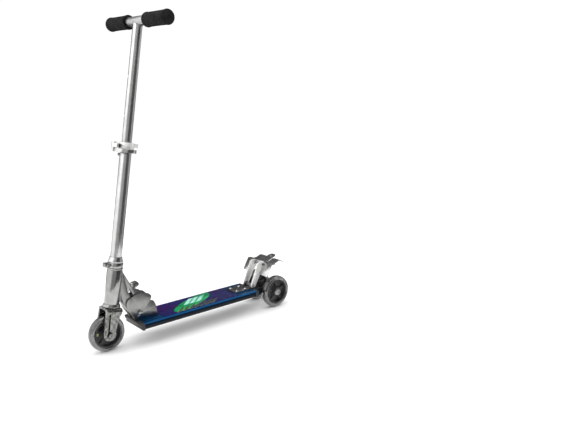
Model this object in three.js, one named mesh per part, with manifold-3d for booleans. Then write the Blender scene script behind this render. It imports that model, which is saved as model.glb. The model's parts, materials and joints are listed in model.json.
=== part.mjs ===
// A folding kick scooter: one wheel in a steered fork in front, a pair of wheels behind a narrow metal
// deck, a telescopic handlebar mast, a folding bracket and a foot brake that is pressed onto the rear wheels.
// Millimetres. +X is the rider's left, +Y the rear and +Z up; the wheels stand on z = 0.
// "Back" in the names below means a distance behind the front axle.
import * as THREE from "three";
import { mergeVertices } from "three/addons/utils/BufferGeometryUtils.js";
import Module from "manifold-3d";

const wasm = await Module();
wasm.setup();

// ---- Driving dimensions ----
const WHEEL_RADIUS = 50;
const WHEEL_WIDTH = 24;
const WHEELBASE = 553.1;
const REAR_TRACK = 94; // between the middles of the two rear wheels
const RAKE_DEG = 9.41; // the column leans back from the vertical
const FORK_OFFSET = 6.47; // the axle sits this far ahead of the steering axis
const AXLE_RADIUS = 4;

const DECK_TOP = 67.6;
const DECK_HALF_WIDTH = 48;
const DECK_FRONT = 75.7;
const DECK_REAR = 489;

const PIVOT_BACK = 93; // the folding pivot
const PIVOT_HEIGHT = 88;
const BRACKET_HALF_WIDTH = 17;
const ARM_HALF_WIDTH = 12.8;
const LOCK_ANGLE_DEG = 112; // the lock pin as seen from the pivot, up from straight back
const LOCK_REACH = 58;

const STEERER_RADIUS = 14.8; // the lower tube of the column
const MAST_RADIUS = 12.5; // the upper tube that slides in it
const CROWN_TOP = 70; // stations along the column, from the height of the axle
const HEAD_TUBE_BOTTOM = 80;
const HEAD_TUBE_TOP = 172;
const HEADSET_TOP = 206;
const BUTTON_STATION = 474;
const CLAMP_BOTTOM = 487;
const CLAMP_TOP = 506;
const MAST_BOTTOM = 395;
const BAR_STATION = 813.8;
const HEIGHT_STEP = 100; // between the mast's height holes
const BAR_RADIUS = 12.5;
const BAR_HALF_LENGTH = 139;
const GRIP_INNER = 47;
const GRIP_RADIUS = 17.8;

const BRAKE_HINGE_BACK = 486;
const BRAKE_HINGE_HEIGHT = 75;
const BRAKE_SHEET = 2; // thickness of the brake's sheet steel

const GAP = 0.3; // between pieces that touch
const ROUND = 24; // sides of a round piece
const WHEEL_SIDES = 32;
const SMALL = 16; // sides of a small round piece

// ---- Looks ----
const looks = {
  polished: { color: 0xd4d6d9, roughness: 0.16, metalness: 1 },
  satin: { color: 0x8a8c8f, roughness: 0.42, metalness: 1 },
  bright: { color: 0xe2e4e6, roughness: 0.1, metalness: 1 },
  steel: { color: 0xb5b8bb, roughness: 0.3, metalness: 1 },
  anodised: { color: 0x1c4f8f, roughness: 0.35, metalness: 0.9 },
  foil: { color: 0x2a1f63, roughness: 0.28, metalness: 0.6 },
  black: { color: 0x17181a, roughness: 0.5, metalness: 0 },
  teal: { color: 0x143238, roughness: 0.5, metalness: 0.1 },
  grip: { color: 0x101112, roughness: 0.85, metalness: 0 },
  tyre: { color: 0x3c3d3f, roughness: 0.25, metalness: 0 },
  hub: { color: 0x0e0e10, roughness: 0.4, metalness: 0 },
};

// ---- Solids ----

// A closed geometry as a manifold solid with its faces turned outwards.
function solidOf(geometry) {
  const bare = geometry.clone();
  bare.deleteAttribute("normal");
  bare.deleteAttribute("uv");
  const merged = mergeVertices(bare, 1e-4);
  const corners = merged.index.array;
  const kept = [];
  for (let i = 0; i < corners.length; i += 3) {
    const [a, b, c] = corners.slice(i, i + 3);
    if (a !== b && b !== c && c !== a) kept.push([a, b, c]);
  }
  const build = (triangles) =>
    new wasm.Manifold(
      new wasm.Mesh({
        numProp: 3,
        vertProperties: merged.attributes.position.array,
        triVerts: new Uint32Array(triangles.flat()),
      }),
    );
  const made = build(kept);
  return made.volume() > 0 ? made : build(kept.map(([a, b, c]) => [a, c, b]));
}

const union = (first, ...rest) => rest.reduce((sum, solid) => sum.add(solid), first);
const cut = (first, ...tools) => tools.reduce((left, tool) => left.subtract(tool), first);

// A solid of revolution about the x, y or z axis through a point. The outline lists [radius, station]
// pairs: it starts and ends on the axis, or it is a closed loop clear of the axis.
function turned(axis, outline, at = [0, 0, 0], sides = ROUND) {
  const points = outline.map(([radius, station]) => new THREE.Vector2(radius, station));
  if (outline[0][0] > 0) points.push(points[0].clone());
  const geometry = new THREE.LatheGeometry(points, sides);
  if (axis === "x") geometry.rotateZ(-Math.PI / 2);
  if (axis === "z") geometry.rotateX(Math.PI / 2);
  return solidOf(geometry.translate(...at));
}

const rod = (axis, radius, from, to, at, sides) =>
  turned(axis, [[0, from], [radius, from], [radius, to], [0, to]], at, sides);

const tube = (axis, inner, outer, from, to, at, sides) =>
  turned(axis, [[inner, from], [outer, from], [outer, to], [inner, to]], at, sides);

// A closed outline of [u, v, setback] corners; a corner with a setback is rounded from that far out.
function outlined(corners, Kind = THREE.Shape) {
  const path = new Kind();
  corners.forEach(([u, v, setback = 0], i) => {
    const corner = new THREE.Vector2(u, v);
    const towards = ([otherU, otherV]) =>
      new THREE.Vector2(otherU - u, otherV - v).setLength(setback).add(corner);
    const start = setback ? towards(corners.at(i - 1)) : corner;
    if (i === 0) path.moveTo(start.x, start.y);
    else path.lineTo(start.x, start.y);
    if (!setback) return;
    const end = towards(corners[(i + 1) % corners.length]);
    path.quadraticCurveTo(corner.x, corner.y, end.x, end.y);
  });
  path.closePath();
  return path;
}

const PLANES = {
  x: new THREE.Matrix4().set(0, 0, 1, 0, 1, 0, 0, 0, 0, 1, 0, 0, 0, 0, 0, 1), // u is y, v is z
  y: new THREE.Matrix4().set(0, 1, 0, 0, 0, 0, 1, 0, 1, 0, 0, 0, 0, 0, 0, 1), // u is z, v is x
  z: new THREE.Matrix4(), // u is x, v is y
};

// An outline drawn across an axis and extruded along it.
function slab(axis, corners, from, to, steps = 3) {
  const shape = corners instanceof THREE.Shape ? corners : outlined(corners);
  const geometry = new THREE.ExtrudeGeometry(shape, {
    depth: to - from,
    bevelEnabled: false,
    curveSegments: steps,
  });
  return solidOf(geometry.translate(0, 0, from).applyMatrix4(PLANES[axis]));
}

function box([x0, x1], [y0, y1], [z0, z1]) {
  const geometry = new THREE.BoxGeometry(x1 - x0, y1 - y0, z1 - z0);
  return solidOf(geometry.translate((x0 + x1) / 2, (y0 + y1) / 2, (z0 + z1) / 2));
}

// The corners of a shape that is the same on both sides of x = 0, from the half on the +X side, for
// slab("y", ...), whose outline runs [z, x].
const bothSides = (half) => [
  ...half.map(([x, z, setback]) => [z, x, setback]),
  ...half.toReversed().map(([x, z, setback]) => [z, -x, setback]),
];

// The outline of a slot of this half width between two points, with round ends.
function capsule([u0, v0], [u1, v1], halfWidth) {
  const along = Math.atan2(v1 - v0, u1 - u0);
  const shape = new THREE.Shape();
  shape.absarc(u1, v1, halfWidth, along - Math.PI / 2, along + Math.PI / 2);
  shape.absarc(u0, v0, halfWidth, along + Math.PI / 2, along + (3 * Math.PI) / 2);
  return shape;
}

// A coil of wire along z about a point, with flat ends.
function coil(radius, wire, from, to, turns, at, stepsPerTurn = 8) {
  const points = [];
  for (let i = 0; i <= turns * stepsPerTurn; i++) {
    const angle = (2 * Math.PI * i) / stepsPerTurn;
    const station = from + ((to - from) * i) / (turns * stepsPerTurn);
    points.push(new THREE.Vector3(radius * Math.cos(angle), radius * Math.sin(angle), station));
  }
  const section = new THREE.Shape();
  section.absarc(0, 0, wire, 0, 2 * Math.PI);
  const geometry = new THREE.ExtrudeGeometry(section, {
    steps: turns * stepsPerTurn,
    curveSegments: 2,
    extrudePath: new THREE.CatmullRomCurve3(points),
  });
  return solidOf(geometry.translate(...at));
}

// A regular hexagon's corners, its flats this far apart, centred on [u, v].
function hexagon(acrossFlats, [u, v]) {
  const reach = acrossFlats / Math.sqrt(3);
  const corners = [0, 1, 2, 3, 4, 5].map((i) => (i * Math.PI) / 3);
  return corners.map((angle) => [u + reach * Math.cos(angle), v + reach * Math.sin(angle)]);
}

// ---- The tree of groups ----
const scooter = new THREE.Group();
const chassis = new THREE.Group(); // measured back from the front axle, up from the ground
chassis.position.y = -WHEELBASE / 2;
scooter.add(chassis);

const rake = THREE.MathUtils.degToRad(RAKE_DEG);
const column = new THREE.Group(); // z runs up the steering axis, from the height of the axle
column.position.set(0, FORK_OFFSET / Math.cos(rake), WHEEL_RADIUS);
column.rotation.x = -rake;
column.updateMatrix();
chassis.add(column);

// Puts a solid into a group as a named mesh with its own material.
function piece(group, name, solid, look) {
  const mesh = solid.getMesh();
  const geometry = new THREE.BufferGeometry();
  geometry.setAttribute("position", new THREE.BufferAttribute(mesh.vertProperties, 3));
  geometry.setIndex(new THREE.BufferAttribute(mesh.triVerts, 1));
  geometry.computeVertexNormals();
  const made = new THREE.Mesh(geometry, new THREE.MeshStandardMaterial(look));
  made.name = name;
  group.add(made);
}

// A point given as [back, height] in the column's own [back, station].
function inColumn([back, height]) {
  const y = back - column.position.y;
  const z = height - column.position.z;
  return [y * Math.cos(rake) - z * Math.sin(rake), y * Math.sin(rake) + z * Math.cos(rake)];
}

// ---- Deck ----
const CAP_LENGTH = 14;
const CHANNEL_FRONT = DECK_FRONT + CAP_LENGTH;
const CHANNEL_REAR = DECK_REAR - CAP_LENGTH;
const SHEET_HALF_WIDTH = 45;
const SHEET_FRONT = 151;
const SHEET_REAR = 411;

function deckChannel() {
  const outer = DECK_HALF_WIDTH;
  const skirt = DECK_TOP - 11;
  const inner = outer - 3;
  const groove = 0.9;
  const half = [
    [outer - 1.2, DECK_TOP],
    [outer, DECK_TOP - 1.2],
    [outer, DECK_TOP - 4],
    [outer - groove, DECK_TOP - 4.8],
    [outer - groove, DECK_TOP - 6],
    [outer, DECK_TOP - 6.8],
    [outer, skirt],
    [inner, skirt],
    [inner, DECK_TOP - 3.6],
  ];
  return slab("y", bothSides(half), CHANNEL_FRONT + GAP, CHANNEL_REAR - GAP);
}

function deckTray() {
  const half = [
    [41.5, 46.4],
    [44.6, 50.5],
    [44.6, DECK_TOP - 4],
    [42, DECK_TOP - 4],
    [42, 51.4],
    [40.2, 49],
  ];
  return slab("y", bothSides(half), CHANNEL_FRONT + GAP, CHANNEL_REAR - GAP);
}

function gripSheet() {
  const corners = [
    [-SHEET_HALF_WIDTH, SHEET_FRONT, 4],
    [SHEET_HALF_WIDTH, SHEET_FRONT, 4],
    [SHEET_HALF_WIDTH, SHEET_REAR, 4],
    [-SHEET_HALF_WIDTH, SHEET_REAR, 4],
  ];
  return slab("z", corners, DECK_TOP + GAP, DECK_TOP + 0.9);
}

// A cap that closes one end of the deck: a rounded plan cut by a stepped side view.
function deckCap(back, front, plan, side) {
  const height = [46, DECK_TOP + 1];
  return slab("z", plan, ...height).intersect(slab("x", side, -60, 60)).intersect(
    box([-60, 60], [Math.min(back, front), Math.max(back, front)], height),
  );
}

function frontCap() {
  const half = DECK_HALF_WIDTH - 0.5;
  const plan = [
    [-half, CHANNEL_FRONT],
    [-half, DECK_FRONT, 7],
    [half, DECK_FRONT, 7],
    [half, CHANNEL_FRONT],
  ];
  const side = [
    [DECK_FRONT, DECK_TOP - 0.4, 1.5],
    [DECK_FRONT, DECK_TOP - 5],
    [DECK_FRONT + 6, 54],
    [DECK_FRONT + 6.6, 46.4, 2],
    [CHANNEL_FRONT, 46.4],
    [CHANNEL_FRONT, DECK_TOP - 0.4],
  ];
  return deckCap(CHANNEL_FRONT, DECK_FRONT, plan, side);
}

function rearCap() {
  const half = DECK_HALF_WIDTH - 0.8;
  const plan = [
    [-half, CHANNEL_REAR],
    [half, CHANNEL_REAR],
    [half, DECK_REAR, 5],
    [-half, DECK_REAR, 5],
  ];
  const side = [
    [CHANNEL_REAR, 46.6],
    [DECK_REAR - 3, 46.6],
    [DECK_REAR, 51],
    [DECK_REAR, DECK_TOP - 4],
    [DECK_REAR - 4, DECK_TOP - 0.6],
    [CHANNEL_REAR, DECK_TOP - 0.6],
  ];
  return deckCap(CHANNEL_REAR, DECK_REAR, plan, side);
}

piece(chassis, "deck_channel", deckChannel(), looks.anodised);
piece(chassis, "deck_tray", deckTray(), looks.black);
piece(chassis, "deck_grip_sheet", gripSheet(), looks.foil);
piece(chassis, "deck_front_cap", frontCap(), looks.black);
piece(chassis, "deck_rear_cap", rearCap(), looks.teal);

// ---- Folding bracket ----
const BRACKET_FLOOR = DECK_TOP + GAP;
const bracketSide = [
  [79, BRACKET_FLOOR],
  [57, 103, 3],
  [53, 119, 4],
  [58, 131, 4],
  [68, 135, 3],
  [80, 141, 3],
  [95, 142.8, 4],
  [107, 140, 3],
  [121, 137, 5],
  [130, 127, 4],
  [125, 115, 3],
  [135, 113, 4],
  [141, 101, 5],
  [147, BRACKET_FLOOR],
];

function foldBracket() {
  const floorTop = BRACKET_FLOOR + 2.7;
  const inner = ARM_HALF_WIDTH + 0.5;
  const walls = slab("x", bracketSide, -BRACKET_HALF_WIDTH, BRACKET_HALF_WIDTH);
  const hollow = box([-inner, inner], [40, 160], [floorTop, 170]);
  const bore = rod("x", AXLE_RADIUS + 0.3, -30, 30, [0, PIVOT_BACK, PIVOT_HEIGHT], SMALL);
  return cut(walls, hollow, bore);
}

const pivot = [0, PIVOT_BACK, PIVOT_HEIGHT];
const pivotHead = BRACKET_HALF_WIDTH + GAP;

function pivotBolt() {
  const end = pivotHead + 5;
  return turned(
    "x",
    [
      [0, -end - 2],
      [AXLE_RADIUS, -end - 2],
      [AXLE_RADIUS, pivotHead],
      [6.6, pivotHead],
      [6.6, pivotHead + 2.4],
      [4.6, end - 0.6],
      [0, end],
    ],
    pivot,
    SMALL,
  );
}

const hexNut = (from, to, bore, acrossFlats, [x, back, height]) =>
  cut(
    slab("x", hexagon(acrossFlats, [back, height]), x + from, x + to),
    rod("x", bore, -500, 500, [0, back, height], SMALL),
  );

piece(chassis, "fold_bracket", foldBracket(), looks.satin);
piece(chassis, "fold_pivot_bolt", pivotBolt(), looks.bright);
piece(
  chassis,
  "fold_pivot_nut",
  hexNut(-pivotHead - 5, -pivotHead, AXLE_RADIUS + GAP, 13, pivot),
  looks.steel,
);

// ---- Folding arm, its lock and the head tube ----
const lockAngle = THREE.MathUtils.degToRad(LOCK_ANGLE_DEG);
const lockPoint = (reach) => [
  PIVOT_BACK + reach * Math.cos(lockAngle),
  PIVOT_HEIGHT + reach * Math.sin(lockAngle),
];

function foldingArm() {
  const wall = 3.2;
  const bottom = 16.4;
  const side = [
    [35, 215],
    [45, 222, 3],
    [78, 158],
    [84, 156, 2],
    [95, 153, 3],
    [103, 143, 4],
    [109, 91, 3],
    [PIVOT_BACK + 6, PIVOT_HEIGHT - bottom, 7],
    [PIVOT_BACK - 8, PIVOT_HEIGHT - bottom, 6],
    [58, 103],
    [46.5, 124],
    [38.5, 166],
  ];
  const inside = [
    [43, 240],
    [47, 150],
    [51, 126],
    [62, 106],
    [70, 92],
    [74, 60],
    [160, 60],
    [160, 240],
  ];
  const slot = capsule(lockPoint(LOCK_REACH - 9), lockPoint(LOCK_REACH + 17), 4.4);
  const headTubeGap = new THREE.CylinderGeometry(20 + GAP, 20 + GAP, 400, ROUND);
  headTubeGap.rotateX(Math.PI / 2).applyMatrix4(column.matrix);
  return cut(
    slab("x", side, -ARM_HALF_WIDTH, ARM_HALF_WIDTH),
    slab("x", inside, -ARM_HALF_WIDTH + wall, ARM_HALF_WIDTH - wall),
    slab("x", slot, -20, 20),
    rod("x", AXLE_RADIUS + GAP, -30, 30, pivot, SMALL),
    solidOf(headTubeGap),
  );
}

function lowerCup() {
  const top = HEAD_TUBE_BOTTOM - GAP;
  return turned("z", [
    [STEERER_RADIUS + 0.6, CROWN_TOP + 1.2],
    [22.5, CROWN_TOP + 1.2],
    [23.5, CROWN_TOP + 2.4],
    [23.2, CROWN_TOP + 4.2],
    [20.6, top],
    [STEERER_RADIUS + 0.6, top],
  ]);
}

function upperCup() {
  const bottom = HEAD_TUBE_TOP + GAP;
  return turned("z", [
    [STEERER_RADIUS + 0.6, bottom],
    [20.4, bottom],
    [21.6, bottom + 2],
    [21.6, bottom + 4.4],
    [STEERER_RADIUS + 0.6, bottom + 4.4],
  ]);
}

const bearing = (inner, outer, from, to) => tube("z", inner, outer, from, to, [0, 0, 0], 24);
const headBearingInner = STEERER_RADIUS + GAP;

piece(chassis, "fold_arm", foldingArm(), looks.satin);
piece(column, "head_tube", tube("z", 17.2, 20, HEAD_TUBE_BOTTOM, HEAD_TUBE_TOP), looks.satin);
piece(column, "headset_lower_cup", lowerCup(), looks.satin);
piece(column, "headset_upper_cup", upperCup(), looks.satin);
piece(
  column,
  "headset_lower_bearing",
  bearing(headBearingInner, 16.9, HEAD_TUBE_BOTTOM + GAP, HEAD_TUBE_BOTTOM + 7),
  looks.steel,
);
piece(
  column,
  "headset_upper_bearing",
  bearing(headBearingInner, 16.9, HEAD_TUBE_TOP - 7, HEAD_TUBE_TOP - GAP),
  looks.steel,
);

// The lock: a cross pin in the arm's slots, the tab that pulls it away from the pivot, and its spring.
const lockCentre = lockPoint(LOCK_REACH);
const LOCK_PIN_RADIUS = 3.8;

function releaseTab() {
  const outline = [
    [56, 142.5, 2],
    [66, 136, 4],
    [76, 135, 4],
    [84, 149],
    [90, 153],
    [101, 163, 6],
    [95, 175, 6],
    [79, 171, 3],
    [72, 158],
    [66, 149],
    [56, 149, 2],
  ];
  const bore = rod("x", LOCK_PIN_RADIUS + GAP, -20, 20, [0, ...lockCentre], 20);
  return cut(slab("x", outline, -6, 6), bore);
}

function lockSpring() {
  return coil(3.4, 0.6, 150.2, 172, 5, [0, 60.6, 0]);
}

const lockPin = rod("x", LOCK_PIN_RADIUS, -12.6, 12.6, [0, ...lockCentre], 20);
piece(chassis, "lock_pin", lockPin, looks.steel);
piece(chassis, "lock_release_tab", releaseTab(), looks.polished);
piece(chassis, "lock_spring", lockSpring(), looks.steel);

// ---- Fork ----
const LEG_INNER = 17.6;
const LEG_OUTER = 24.4;
const axleInColumn = inColumn([0, WHEEL_RADIUS]);

function fork() {
  const side = [
    [-23, CROWN_TOP, 2],
    inColumn([-7, 108]),
    inColumn([-13.5, 84]),
    [...inColumn([-18, 60]), 3],
    [...inColumn([-19, 44]), 6],
    [...inColumn([-8, 34.5]), 6],
    [...inColumn([6, 34]), 6],
    [...inColumn([16, 42]), 6],
    [...inColumn([16, 56]), 3],
    inColumn([18, 64]),
    inColumn([27, 89]),
    [...inColumn([38, 104]), 4],
    [21, CROWN_TOP, 2],
  ];
  const front = [
    [LEG_OUTER, CROWN_TOP, 9],
    [LEG_OUTER, -40],
  ];
  const between = [
    [LEG_INNER, CROWN_TOP - 6, 6],
    [LEG_INNER, -60],
  ];
  const groove = [
    inColumn([1, 108]),
    inColumn([6, 108]),
    inColumn([-1.2, 61]),
    inColumn([-6, 46]),
    inColumn([-11, 48]),
    inColumn([-6.2, 62]),
  ];
  const rearBand = [
    inColumn([3.5, 106]),
    inColumn([-3.6, 61]),
    inColumn([-8, 30]),
    inColumn([30, 30]),
    inColumn([50, 106]),
  ];
  const boss = ([from, to]) => rod("x", 7.5, from, to, [0, ...axleInColumn], SMALL);
  const outsideOf = (x) => [
    [x, 60],
    [-60, -x],
  ];
  let made = slab("x", side, -LEG_OUTER, LEG_OUTER)
    .intersect(slab("y", bothSides(front), -60, 60))
    .subtract(slab("y", bothSides(between), -60, 60));
  made = union(made, boss([12.2, LEG_INNER + 1]), boss([-LEG_INNER - 1, -12.2]));
  for (const [from, to] of outsideOf(20.6)) made = made.subtract(slab("x", groove, from, to));
  for (const [from, to] of outsideOf(23)) made = made.subtract(slab("x", rearBand, from, to));
  const axle = [0, ...axleInColumn];
  return cut(
    made,
    rod("x", AXLE_RADIUS + GAP, -40, 40, axle, SMALL),
    rod("x", 8, 22.8, 40, axle, SMALL),
    rod("x", 8, -40, -22.8, axle, SMALL),
    rod("z", STEERER_RADIUS + GAP, 50, 90),
  );
}

function axleBolt() {
  const seat = 23 + GAP;
  return turned(
    "x",
    [
      [0, -30],
      [AXLE_RADIUS, -30],
      [AXLE_RADIUS, seat],
      [6.8, seat],
      [6.8, seat + 4.2],
      [5.4, seat + 5.6],
      [2.6, seat + 5.6],
      [2.6, seat + 3],
      [0, seat + 3],
    ],
    [0, ...axleInColumn],
    SMALL,
  );
}

piece(column, "fork", fork(), looks.satin);
piece(column, "front_axle_bolt", axleBolt(), looks.bright);
piece(
  column,
  "front_axle_nut",
  hexNut(-29.5, -23 - GAP, AXLE_RADIUS + GAP, 13, [0, ...axleInColumn]),
  looks.steel,
);

// ---- Headset ----
const COLLAR_BOTTOM = HEAD_TUBE_TOP + 5.6;
const NUT_BOTTOM = 191.3;

// A split ring with two ears on its front that a bolt draws together.
function splitCollar({ outer, bottom, top, earHalf, earFront, earBottom, earTop, boltRadius }) {
  const ring = tube("z", STEERER_RADIUS + GAP, outer, bottom, top);
  const ears = box([-earHalf, earHalf], [-earFront, -outer + 3], [earBottom, earTop]);
  const slit = box([-1.1, 1.1], [-earFront - 1, 0], [bottom - 1, top + 1]);
  const boltAt = [0, 4 - earFront + 3, (earBottom + earTop) / 2];
  return cut(ring.add(ears), slit, rod("x", boltRadius + GAP, -30, 30, boltAt, SMALL));
}

const headsetCollar = splitCollar({
  outer: 20.6,
  bottom: COLLAR_BOTTOM,
  top: NUT_BOTTOM - GAP,
  earHalf: 8,
  earFront: 32,
  earBottom: COLLAR_BOTTOM + 1,
  earTop: NUT_BOTTOM - 2,
  boltRadius: 2.5,
});

const headsetNut = turned("z", [
  [STEERER_RADIUS + GAP, NUT_BOTTOM],
  [19.6, NUT_BOTTOM],
  [19.6, NUT_BOTTOM + 4.5],
  [18.4, NUT_BOTTOM + 6],
  [16.2, HEADSET_TOP],
  [STEERER_RADIUS + GAP, HEADSET_TOP],
]);

// A cross bolt along x with a socket in its head, which points to the rider's left.
function socketBolt(radius, from, seat, at) {
  const head = radius * 1.8;
  return turned(
    "x",
    [
      [0, from],
      [radius, from],
      [radius, seat],
      [head, seat],
      [head, seat + radius * 1.8],
      [radius, seat + radius * 1.8],
      [radius, seat + radius],
      [0, seat + radius],
    ],
    at,
    SMALL,
  );
}

piece(column, "headset_collar", headsetCollar, looks.satin);
const collarBolt = socketBolt(2.5, -11, 8 + GAP, [0, -25, (COLLAR_BOTTOM + NUT_BOTTOM - 1) / 2]);
piece(column, "headset_collar_bolt", collarBolt, looks.bright);
piece(column, "headset_nut", headsetNut, looks.polished);

// ---- Lower tube, height button and clamp ----
const BUTTON_RADIUS = 4;
const buttonTurn = THREE.MathUtils.degToRad(-120); // from +X about the column: ahead and to the right
const buttonWay = [Math.cos(buttonTurn), Math.sin(buttonTurn)];

// A round bar that points out of the column towards the button, from one radius to another.
function buttonBar(radius, from, to, station, outline) {
  const shape = outline ?? [[0, from], [radius, from], [radius, to], [0, to]];
  const geometry = new THREE.LatheGeometry(
    shape.map(([r, s]) => new THREE.Vector2(r, s)),
    SMALL,
  );
  geometry.rotateZ(-Math.PI / 2).rotateZ(buttonTurn);
  return solidOf(geometry.translate(0, 0, station));
}

function lowerTube() {
  const slit = box([-1.2, 1.2], [0, 30], [CLAMP_BOTTOM - 22, CLAMP_TOP + 5]);
  const wall = tube("z", MAST_RADIUS + 0.4, STEERER_RADIUS, CROWN_TOP - 6, CLAMP_TOP - 1);
  return cut(wall, slit, buttonBar(BUTTON_RADIUS + GAP, 0, 30, BUTTON_STATION));
}

const heightButton = buttonBar(BUTTON_RADIUS, 0, 0, BUTTON_STATION, [
  [0, MAST_RADIUS + 0.5],
  [BUTTON_RADIUS, MAST_RADIUS + 0.5],
  [BUTTON_RADIUS, 18],
  [3.2, 19.4],
  [0, 20],
]);

const EAR_FRONT = 32;
const clampBoltStation = 497;
const clampBoltForward = -(EAR_FRONT - 7);
const LEVER_PIN_X = -17.5;
const LEVER_PIN_RADIUS = 2;

function clampCollar() {
  const made = splitCollar({
    outer: 19.4,
    bottom: CLAMP_BOTTOM,
    top: CLAMP_TOP,
    earHalf: 9,
    earFront: EAR_FRONT,
    earBottom: clampBoltStation - 5.5,
    earTop: clampBoltStation + 5.5,
    boltRadius: 2.5,
  });
  const lug = slab("z", [[-6.5, 17], [6.5, 17], [6.5, 31, 2.5], [-6.5, 31, 2.5]], 494.5, 505);
  return union(made, lug);
}

// The bolt runs through the ears and ends in an upright barrel that the lever's cam turns on.
function clampBolt() {
  const at = [0, clampBoltForward, clampBoltStation];
  const shank = socketBolt(2.5, LEVER_PIN_X, 9 + GAP, at);
  const barrelAt = [LEVER_PIN_X, clampBoltForward, clampBoltStation];
  return shank.add(rod("z", LEVER_PIN_RADIUS, -13, 7, barrelAt, 16));
}

// The lever hugs the front and left of the tube below the ears, from a cam head at the bolt's right end.
function clampLever() {
  const head = 7;
  const [bottom, top] = [480.5, 489.5];
  const inner = 23.6;
  const outer = 29.2;
  const start = THREE.MathUtils.degToRad(-128);
  const end = THREE.MathUtils.degToRad(32);
  const arc = new THREE.Shape();
  arc.absarc(0, 0, outer, start, end, false);
  arc.absarc(0, 0, inner, end, start, true);
  arc.closePath();
  const tip = rod("z", 4.2, bottom, top, [26 * Math.cos(end), 26 * Math.sin(end), 0], SMALL);
  const headAt = [LEVER_PIN_X, clampBoltForward, 0];
  const cam = rod("z", head, bottom, clampBoltStation + 8, headAt, 20);
  const boltWay = box(
    [LEVER_PIN_X - 9, LEVER_PIN_X + 9],
    [clampBoltForward - 3, clampBoltForward + 9],
    [clampBoltStation - 3.2, clampBoltStation + 3.2],
  );
  const bore = rod("z", LEVER_PIN_RADIUS + GAP, bottom - 1, 520, headAt, 16);
  return cut(union(slab("z", arc, bottom, top, 14), tip, cam), boltWay, bore);
}

piece(column, "lower_tube", lowerTube(), looks.polished);
piece(column, "height_button", heightButton, looks.steel);
piece(column, "clamp_collar", clampCollar(), looks.satin);
piece(column, "clamp_bolt", clampBolt(), looks.bright);
piece(column, "clamp_lever", clampLever(), looks.bright);

// ---- Mast, handlebar and grips ----
const barAt = [0, 0, BAR_STATION];

function mastTube() {
  const wall = tube("z", MAST_RADIUS - 1.6, MAST_RADIUS, MAST_BOTTOM, BAR_STATION - 3);
  const holes = [0, 1, 2].map((i) =>
    buttonBar(BUTTON_RADIUS + 0.7, 0, 30, BUTTON_STATION + i * HEIGHT_STEP),
  );
  return cut(wall, rod("x", BAR_RADIUS + GAP, -40, 40, barAt), ...holes);
}

// One grip, closed over the end of the bar, on the side that the sign gives.
function grip(side) {
  const end = BAR_HALF_LENGTH + GAP;
  const bore = BAR_RADIUS + GAP;
  const outline = [
    [0, end],
    [bore, end],
    [bore, GRIP_INNER],
    [GRIP_RADIUS - 1, GRIP_INNER],
    [GRIP_RADIUS + 0.9, GRIP_INNER + 1.6],
    [GRIP_RADIUS + 0.9, GRIP_INNER + 4.4],
    [GRIP_RADIUS - 0.4, GRIP_INNER + 7],
    [GRIP_RADIUS - 0.6, end - 8],
    [GRIP_RADIUS + 1.2, end - 4],
    [GRIP_RADIUS + 1.2, end + 1],
    [GRIP_RADIUS - 3.4, end + 6.6],
    [0, end + 8],
  ];
  return turned(
    "x",
    outline.map(([radius, station]) => [radius, side * station]),
    barAt,
    20,
  );
}

piece(column, "mast_tube", mastTube(), looks.polished);
const bar = tube("x", BAR_RADIUS - 2, BAR_RADIUS, -BAR_HALF_LENGTH, BAR_HALF_LENGTH, barAt);
piece(column, "handlebar", bar, looks.polished);
piece(column, "grip_left", grip(1), looks.grip);
piece(column, "grip_right", grip(-1), looks.grip);

// ---- Wheels ----
const HUB_RADIUS = 38;
const BEARING_RADIUS = 11;
const BEARING_OUT = 10.8; // the outer face of each bearing, from the middle of the wheel
const halfWidth = WHEEL_WIDTH / 2;

function tyre(at) {
  const half = [
    [HUB_RADIUS + GAP, halfWidth - 1],
    [41, halfWidth],
    [47.6, halfWidth - 2],
    [WHEEL_RADIUS, 4.4],
  ];
  const mirrored = half.toReversed().map(([radius, station]) => [radius, -station]);
  return turned("x", [...half, ...mirrored], at, WHEEL_SIDES);
}

function hub(at) {
  const half = [
    [6, 3.4],
    [BEARING_RADIUS + GAP, 3.4],
    [BEARING_RADIUS + GAP, halfWidth - 0.6],
    [15, halfWidth - 0.6],
    [16, 6.5],
    [33, 5.5],
    [34, halfWidth - 1.4],
    [HUB_RADIUS, halfWidth - 1.4],
  ];
  const mirrored = half.toReversed().map(([radius, station]) => [radius, -station]);
  const body = turned("x", [...half, ...mirrored], at, 20);
  const pockets = [0, 1, 2, 3, 4].flatMap((i) => {
    const middle = Math.PI / 2 + (2 * Math.PI * i) / 5;
    const corner = (reach, swing) => [
      at[1] + reach * Math.cos(middle + swing),
      at[2] + reach * Math.sin(middle + swing),
      2,
    ];
    const outline = [corner(20, -0.3), corner(30.5, -0.38), corner(30.5, 0.38), corner(20, 0.3)];
    return [
      slab("x", outline, at[0] + 1.5, at[0] + 20, 1),
      slab("x", outline, at[0] - 20, at[0] - 1.5, 1),
    ];
  });
  return cut(body, ...pockets);
}

function bearings(group, names, at) {
  names.forEach((name, i) => {
    const out = i === 0 ? BEARING_OUT : -BEARING_OUT + 7;
    const ring = tube("x", AXLE_RADIUS + GAP, BEARING_RADIUS, out - 7, out, at, 20);
    piece(group, name, ring, looks.steel);
  });
}

const frontAt = [0, 0, WHEEL_RADIUS];
piece(chassis, "front_tyre", tyre(frontAt), looks.tyre);
piece(chassis, "front_hub", hub(frontAt), looks.hub);
bearings(chassis, ["front_bearing_left", "front_bearing_right"], frontAt);

for (const [name, side] of [["left", 1], ["right", -1]]) {
  const at = [(side * REAR_TRACK) / 2, WHEELBASE, WHEEL_RADIUS];
  piece(chassis, `rear_tyre_${name}`, tyre(at), looks.tyre);
  piece(chassis, `rear_hub_${name}`, hub(at), looks.hub);
  bearings(chassis, [`rear_bearing_${name}_a`, `rear_bearing_${name}_b`], at);
}

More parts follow.
